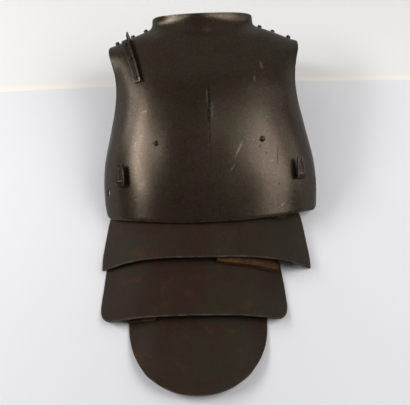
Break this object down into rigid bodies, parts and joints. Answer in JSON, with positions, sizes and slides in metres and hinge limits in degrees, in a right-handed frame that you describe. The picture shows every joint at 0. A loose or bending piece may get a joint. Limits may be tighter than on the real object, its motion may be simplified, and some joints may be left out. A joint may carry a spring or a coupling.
{
  "type": "breastplate with tassets",
  "caption": "Heavy steel breastplate with a raised collar, plates over the shoulders, a butt stop, equipment hooks and overlapping belly plates hung on webbing with felt pads.",
  "frame": {"origin": "on the surface it lies on, under the middle of its outline seen from above", "axes": "+Y up the wearer's body towards the collar, +Z out of the wearer's chest, +X to the wearer's left"},
  "size_m": [0.431, 0.7544, 0.2091],
  "materials": {
    "painted_steel": "satin olive-brown paint, rubbed and scratched",
    "felt": "thick rust-brown felt",
    "webbing": "flat woven cotton webbing"
  },
  "bodies": {
    "root": {"breastplate": "painted_steel", "chest_rivet_right": "painted_steel", "chest_rivet_left": "painted_steel", "hook_right": "painted_steel", "hook_left": "painted_steel", "butt_stop": "painted_steel", "butt_rivet_1": "painted_steel", "butt_rivet_2": "painted_steel", "butt_rivet_3": "painted_steel", "shoulder_plate_right": "painted_steel", "shoulder_rivet_right_1": "painted_steel", "shoulder_rivet_right_2": "painted_steel", "shoulder_rivet_right_3": "painted_steel", "shoulder_plate_left": "painted_steel", "shoulder_rivet_left_1": "painted_steel", "shoulder_rivet_left_2": "painted_steel", "shoulder_rivet_left_3": "painted_steel", "tasset_upper": "painted_steel", "strap_rivet_upper_right": "painted_steel", "strap_rivet_upper_left": "painted_steel", "tasset_middle": "painted_steel", "strap_rivet_middle_right": "painted_steel", "strap_rivet_middle_left": "painted_steel", "tasset_lower": "painted_steel", "strap_rivet_lower_right": "painted_steel", "strap_rivet_lower_left": "painted_steel", "felt_upper_left": "felt", "felt_upper_right": "felt", "felt_middle_left": "felt", "felt_middle_right": "felt", "felt_lower_left": "felt", "felt_lower_right": "felt", "strap_right": "webbing", "strap_left": "webbing"}
  },
  "joints": []
}
